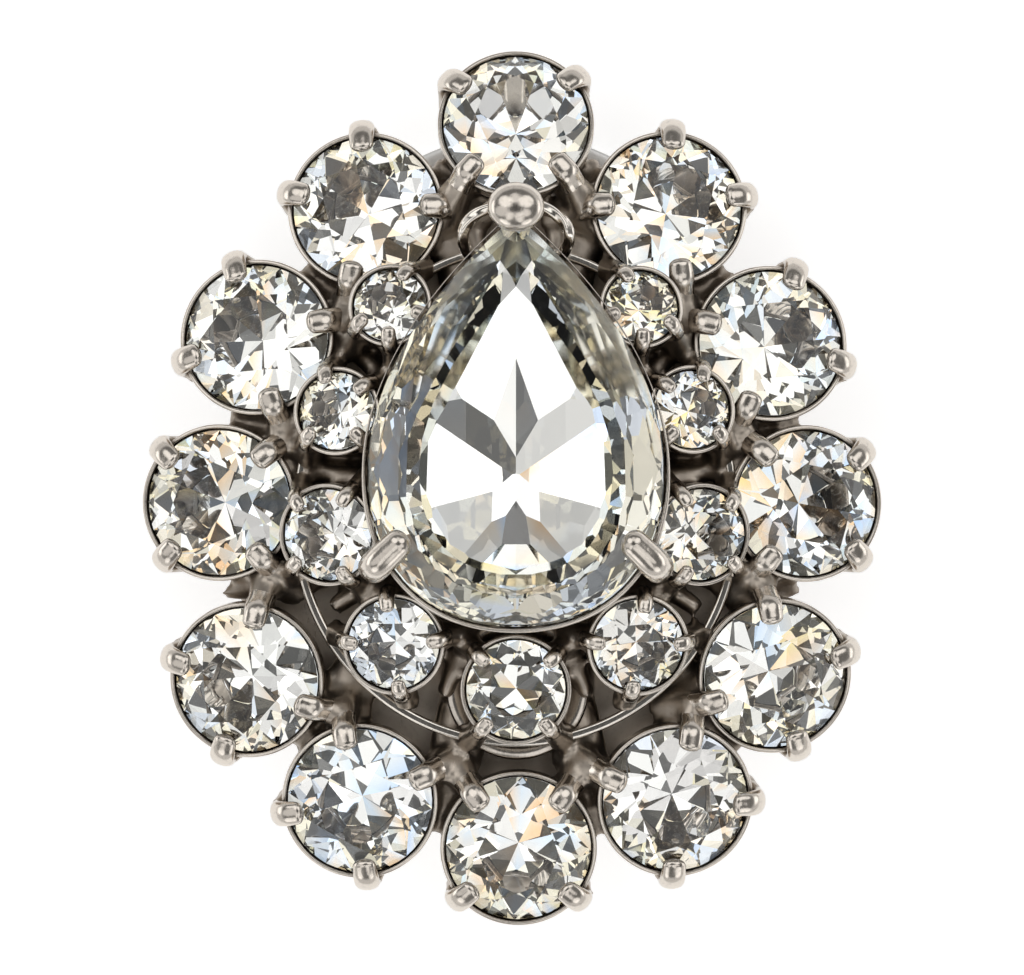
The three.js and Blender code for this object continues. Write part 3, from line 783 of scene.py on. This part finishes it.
def pear_claws():
    """The knob over the tip, and the two bars below. Rows hold what prong_rows' do."""
    form = Form()
    upwards = Matrix.Rotation(math.pi / 2, 4, "Z")
    tip_edge = PEAR_PLACE @ Matrix.Translation((0, PEAR_SHOULDER, 0)) @ upwards
    rows = rounded_off(smooth_line([
        (0.75, -3.2, 0.45, 0.38), (0.85, -1.2, 0.55, 0.48), (0.85, -0.1, 0.70, 0.50),
        (0.60, 0.50, 0.75, 0.45), (0.30, 0.65, 0.60, 0.40)], 20), 0.3, 5)
    form.sweep(upright(rows), (0, 1, 0), rows[:, 2], rows[:, 3], tip_edge, sides=36, fullness=2.0)
    bow = np.radians(np.linspace(-89, 89, 25))
    dome = np.column_stack([KNOB_RADIUS * np.cos(bow), KNOB_HEIGHT / 2 * np.sin(bow)])
    oval = Matrix.Translation((0.3, 0, 0.85)) @ Matrix.Diagonal((0.88, 1, 1, 1))
    form.lathe(dome, 48, tip_edge @ oval)
    down = BAR_SHARE ** PEAR_FULLNESS
    across = PEAR_WIDTH / 2 * (1 - down) ** (1 / PEAR_FULLNESS)
    for side in (-1, 1):
        turn = Matrix.Rotation(math.radians(180 + BAR_TURN if side < 0 else -BAR_TURN), 4, "Z")
        middle = Matrix.Translation((side * across, -BAR_SHARE * PEAR_BELLY, 0))
        rows = rounded_off(smooth_line([
            (0.5, -2.6, 0.5, 0.4), (0.78, -0.9, 0.62, 0.50), (0.84, -0.1, 0.68, 0.58),
            (0.52, 0.55, 0.71, 0.60), (-0.7, 0.92, 0.66, 0.54)], 24), 0.66, 12)
        edge = PEAR_PLACE @ middle @ turn
        form.sweep(upright(rows), (0, 1, 0), rows[:, 2], rows[:, 3], edge, sides=28, fullness=2.0)
    return form


def back_plate(form, level):
    """Plate that the outer cups stand on. Level holds their middles."""
    corners = []
    for i, here in enumerate(level):
        after = level[(i + 1) % len(level)]
        corners += [here * 0.92, (here + after) / 2]
    outline = np.array([(p.x, p.y) for p in corners])
    form.skin([np.column_stack([outline, np.full(len(outline), z)]) for z in (0.0, PLATE_THICKNESS)])


def cups(form):
    """Cups of the round stones, with the roots of their prongs."""
    for place, diameter, prongs, heading in seats():
        radius = diameter / 2 + STONE_GAP + RIM_WIDTH
        foot = OUTER_RISE if diameter == OUTER_DIAMETER else INNER_RISE
        profile = [(0.01, -foot + 0.1), (0.62 * radius, -foot + 0.1), (0.80 * radius, -0.5 * foot),
                   (radius - 0.06, -0.75), (radius - 0.03, -0.28), (0.01, -0.28)]
        form.lathe(profile, 40, place)
        for angle in prongs:
            rows, _ = prong_rows(diameter, angle, heading)
            rows = smooth_line(rows, PRONG_STEPS)[:ROOT_STEPS]
            rows[:, 2:] *= np.linspace(1.45, 0.96, ROOT_STEPS)[:, None]
            edge = prong_edge(place, diameter, angle)
            form.sweep(upright(rows), (0, 1, 0), rows[:, 2], rows[:, 3], edge, sides=12)


def ribs(form, level):
    """Ribs inward between the outer cups, and out from between the inner ones.

    Rows: share of the way out, height, half width, half thickness."""
    for i, here in enumerate(level):
        notch = (here + level[(i + 1) % len(level)]) / 2
        rows = smooth_line([(1.0, 1.2, 0.30, 1.3), (0.93, 1.7, 0.75, 1.0), (0.82, 2.1, 1.2, 0.9),
                            (0.70, 2.2, 1.3, 0.9), (0.52, 1.5, 1.2, 1.0)], 12)
        path = np.array([(notch.x * share, notch.y * share, z) for share, z in rows[:, :2]])
        side = Vector((-notch.y, notch.x, 0)).normalized()
        form.sweep(path, side, rows[:, 2], rows[:, 3], sides=14)
    count = len(INNER_STONES)
    for i in range(count):
        here = Vector((*INNER_STONES[i][:2], 0))
        after = Vector((*INNER_STONES[(i + 1) % count][:2], 0))
        gap = (here + after) / 2
        end = gap.normalized() * RIB_END
        rows = smooth_line([(0.4, 2.6, 0.7, 0.9), (0.7, 2.9, 0.5, 0.8), (1.0, 2.7, 0.42, 0.8)], 8)
        path = np.array([(end.x * share, end.y * share, z) for share, z in rows[:, :2]])
        side = Vector((-gap.y, gap.x, 0)).normalized()
        form.sweep(path, side, rows[:, 2], rows[:, 3], sides=12)


def pear_cup(form):
    """Cup of the pear, in rings from its foot: share of the outline, height from the girdle."""
    points, _ = pear_line(64, grow=0.16)
    rings = []
    for share, z in ((0.3, -PEAR_RISE + 0.2), (0.42, -5.6), (0.62, -3.6), (0.93, -0.9), (1.0, -0.3)):
        ring = np.column_stack([points * share, np.full(len(points), z)])
        ring[:, 1] += PEAR_CENTRE_Y
        ring[:, 2] += PEAR_RISE
        rings.append(ring)
    form.skin(rings)


def casting_form():
    """Lumps that run together into the cast body under the stones."""
    form = Form()
    level = [Vector((x, y, 0)) for x, y, *_ in OUTER_STONES]
    back_plate(form, level)
    cups(form)
    ribs(form, level)
    pear_cup(form)
    return form


def sunk(local, share, depth, fullness=1.0):
    """Points inside a stone's room, moved down along its axis to the floor of its seat."""
    seat = -HALF_GIRDLE - SEAT_ROOM - depth * (1 - share ** fullness)
    inside = (share < 1) & (local[:, 2] > seat) & (local[:, 2] < 1.5)
    local[inside, 2] = seat[inside]
    return local


def clear_of_stones(points):
    """Sinks the skin of the cast body below every stone, so that each has its seat."""
    for place, diameter, _, _ in seats():
        local = moved(points, place.inverted())
        share = np.hypot(local[:, 0], local[:, 1]) / (diameter / 2 + SEAT_ROOM)
        points = moved(sunk(local, share, PAVILION_SHARE * diameter), place)
    outline, _ = pear_line(400, grow=SEAT_ROOM)
    angles = np.arctan2(outline[:, 1], outline[:, 0])
    order = np.argsort(angles)
    local = moved(points, PEAR_PLACE.inverted())
    reach = np.interp(np.arctan2(local[:, 1], local[:, 0]), angles[order],
                      np.hypot(outline[order, 0], outline[order, 1]), period=2 * math.pi)
    share = np.hypot(local[:, 0], local[:, 1]) / reach
    return moved(sunk(local, share, PEAR_PAVILION, PEAR_SEAT_FULLNESS), PEAR_PLACE)


def casting(material):
    """The cast body: its lumps joined and smoothed as one skin."""
    rough = bpy.data.objects.new("casting_lumps", casting_form().mesh("casting_lumps", scaled=False))
    bpy.context.scene.collection.objects.link(rough)
    joined = rough.modifiers.new("joined", "REMESH")
    joined.mode, joined.voxel_size = "VOXEL", CAST_VOXEL
    soft = rough.modifiers.new("soft", "SMOOTH")
    soft.factor, soft.iterations = 0.5, 5
    bpy.context.view_layer.update()
    made = rough.evaluated_get(bpy.context.evaluated_depsgraph_get())
    mesh = bpy.data.meshes.new_from_object(made)
    bpy.data.objects.remove(rough)
    places = clear_of_stones(np.array([vertex.co for vertex in mesh.vertices]))
    places[:, 2] = np.maximum(places[:, 2], 0.0)
    mesh.vertices.foreach_set("co", in_metres(places).astype(np.float32).ravel())
    mesh.polygons.foreach_set("use_smooth", [True] * len(mesh.polygons))
    mesh.update()
    return dressed("cast_body", mesh, [material], "antique_silver", "metal_frame")


def base_disc():
    """Dished disc under the lowest inner stone."""
    form = Form()
    top = HOOP_RISE - HOOP_WIRE / 2
    profile = [(0.01, 1.0), (DISC_RADIUS, 1.0), (DISC_RADIUS, top - 0.1), (DISC_RADIUS - 0.1, top),
               (DISC_RADIUS - 0.55, top - 0.02), (DISC_RADIUS - 0.8, top - 0.35), (0.01, top - 0.45)]
    form.lathe(profile, 80, Matrix.Translation(DISC_PLACE))
    return form


def clip():
    """Bent sheet: pad under the frame, bend at the lower end, paddle up to the top."""
    form = Form()
    outside = (CLIP_TOP - CLIP_BOTTOM) / 2
    centre_z = (CLIP_TOP + CLIP_BOTTOM) / 2
    bend = outside - CLIP_SHEET / 2
    bend_centre = BEND_Y + outside
    path = [(y, CLIP_TOP - CLIP_SHEET / 2) for y in np.linspace(PAD_TOP_Y, bend_centre, 12)]
    for angle in np.linspace(90, 270, 25)[1:-1]:
        turn = math.radians(angle)
        path.append((bend_centre + bend * math.cos(turn), centre_z + bend * math.sin(turn)))
    straight = np.linspace(bend_centre, PADDLE_TOP_Y - PADDLE_END, 14)
    path += [(y, CLIP_BOTTOM + CLIP_SHEET / 2) for y in straight]
    ends = PADDLE_TOP_Y - PADDLE_END * (1 - np.sin(np.linspace(0, math.pi / 2, 30)[1:]))
    path += [(y, CLIP_BOTTOM + CLIP_SHEET / 2) for y in ends]
    arc_centre = PADDLE_TOP_Y - PADDLE_TOP_RADIUS
    corner_x = PADDLE_HALF_WIDTH - PADDLE_CORNER
    corner_y = arc_centre + math.sqrt((PADDLE_TOP_RADIUS - PADDLE_CORNER) ** 2 - corner_x ** 2)
    widths, heights = [], []
    for y, z in path:
        width = PADDLE_HALF_WIDTH
        if z < centre_z and y > corner_y:
            fillet = corner_x + math.sqrt(max(PADDLE_CORNER ** 2 - (y - corner_y) ** 2, 0))
            arc = math.sqrt(max(PADDLE_TOP_RADIUS ** 2 - (y - arc_centre) ** 2, 0))
            width = min(fillet, arc) if y < corner_y + PADDLE_CORNER * 0.93 else arc
        height = CLIP_SHEET / 2
        if z < centre_z:
            height *= math.sqrt(1 - max(0, 1 - (PADDLE_TOP_Y - y) / PADDLE_EDGE) ** 2 * 0.6)
        widths.append(max(width, 0.05))
        heights.append(height)
    points = np.array([(0, y, z) for y, z in path])
    form.sweep(points, (1, 0, 0), np.array(widths), np.array(heights), sides=40, fullness=14)
    return form


def metalwork():
    cast = silver("antique_silver_cast", (0.45, 0.395, 0.335), (0.13, 0.102, 0.077),
                  sheen=0.3, tarnish_and_shade=(0.1, 0.85), hollow_reach=1.2)
    bright = silver("antique_silver_polished", (0.64, 0.585, 0.52), (0.105, 0.082, 0.062),
                    sheen=0.18, tarnish_and_shade=(0.2, 0.85), hollow_reach=0.7)
    wire = silver("antique_silver_wire", (0.78, 0.73, 0.66), (0.26, 0.22, 0.175),
                  sheen=0.15, tarnish_and_shade=(0.0, 0.5), hollow_reach=0.5)
    casting(cast)
    for name, form, finish in [
        ("cup_rims", rims(), bright),
        ("prongs", round_prongs(), bright),
        ("pear_rim", pear_rim(), bright),
        ("pear_claws", pear_claws(), bright),
        ("hoop_and_loop", wires(), wire),
        ("base_disc", base_disc(), bright),
    ]:
        dressed(name, form.mesh(name), [finish], "antique_silver", "metal_frame")
    dressed("clip_sheet", clip().mesh("clip_sheet"), [satin()], "satin_silver", "ear_clip")


# Studio, in metres

FLOOR_HALF_WIDTH = 0.6
LIGHT_DISTANCE = 0.4
# Brightness of the ceiling's middle, and what the rest of the room and its low band add to it
CEILING_MIDDLE = 0.08
ROOM = 0.1
LOW_BAND = 0.55
PICTURE_WIDTH = 0.0455


def floor():
    finish = Finish("white_floor")
    material = finish.surface({
        "Base Color": colour(0.93, 0.93, 0.93),
        "Roughness": 0.9,
        "Emission Color": colour(1.0, 1.0, 1.0),
        "Emission Strength": 0.5,
    })
    mesh = bpy.data.meshes.new("floor")
    half = FLOOR_HALF_WIDTH
    corners = [(-half, -half, 0), (half, -half, 0), (half, half, 0), (-half, half, 0)]
    mesh.from_pydata(corners, [], [(0, 1, 2, 3)])
    mesh.materials.append(material)
    plane = bpy.data.objects.new("floor", mesh)
    bpy.context.scene.collection.objects.link(plane)


def softbox(name, azimuth, elevation, width, height, radiance):
    light = bpy.data.lights.new(name, "AREA")
    light.shape, light.size, light.size_y = "ELLIPSE", width, height
    light.energy = math.pi * (math.pi / 4 * width * height) * radiance
    lamp = bpy.data.objects.new(name, light)
    a, e = math.radians(azimuth), math.radians(elevation)
    away = Vector((math.cos(a) * math.cos(e), math.sin(a) * math.cos(e), math.sin(e)))
    lamp.location = away * LIGHT_DISTANCE
    lamp.rotation_euler = away.to_track_quat("Z", "Y").to_euler()
    lamp.visible_camera = False
    bpy.context.scene.collection.objects.link(lamp)


def room():
    """Grey walls, bright at their foot, and a dark middle of the ceiling. The camera sees white."""
    world = bpy.data.worlds.new("studio_room")
    bpy.context.scene.world = world
    light = Finish(world)
    up = light.node("ShaderNodeSeparateXYZ", {}, {0: light.node("ShaderNodeTexCoord")}, 2)
    strength = (1 - up.between(0.95, 0.98)) * ROOM + (1 - up.between(0.36, 0.48)) * LOW_BAND
    strength = strength + CEILING_MIDDLE
    walls = light.node("ShaderNodeBackground", {}, {"Color": colour(1, 1, 1), "Strength": strength})
    page = light.node("ShaderNodeBackground", {}, {"Color": colour(1, 1, 1)})
    seen = light.node("ShaderNodeLightPath")
    mixed = light.node("ShaderNodeMixShader", {}, {0: seen, 1: walls, 2: page})
    light.node("ShaderNodeOutputWorld", {}, {"Surface": mixed})


def studio():
    floor()
    room()
    # name, azimuth, elevation, width, height, radiance
    for box in [
        ("upper_right_panel", 38, 58, 0.23, 0.30, 1.20),
        ("top_panel", 92, 61, 0.16, 0.22, 0.80),
        ("upper_left_panel", 142, 58, 0.21, 0.30, 1.20),
        ("left_panel", 196, 52, 0.23, 0.33, 0.65),
        ("lower_left_panel", 240, 60, 0.12, 0.24, 1.00),
        ("bottom_panel", 286, 59, 0.13, 0.28, 0.98),
        ("lower_right_panel", 328, 62, 0.15, 0.20, 0.90),
        ("side_right_box", 4, 17, 0.30, 0.12, 1.15),
        ("side_left_box", 176, 17, 0.30, 0.12, 1.15),
        ("low_left_box", 238, 30, 0.20, 0.16, 1.2),
        ("low_right_box", 302, 30, 0.20, 0.16, 1.2),
    ]:
        softbox(*box)


def camera():
    """Straight above the face, with a long lens."""
    low, high = (Vector(corner) for corner in cad_box)
    lens = bpy.data.cameras.new("camera")
    lens.lens = 200
    lens.sensor_width = 36
    lens.clip_start = 0.01
    eye = bpy.data.objects.new("camera", lens)
    above = high.z * 0.6 + PICTURE_WIDTH * lens.lens / lens.sensor_width
    eye.location = ((low.x + high.x) / 2, (low.y + high.y) / 2, above)
    bpy.context.scene.collection.objects.link(eye)
    bpy.context.scene.camera = eye


crystals()
metalwork()
studio()
camera()

scene = bpy.context.scene
scene.view_settings.view_transform = "Standard"
scene.cycles.glossy_bounces = 8
scene.cycles.transmission_bounces = 12
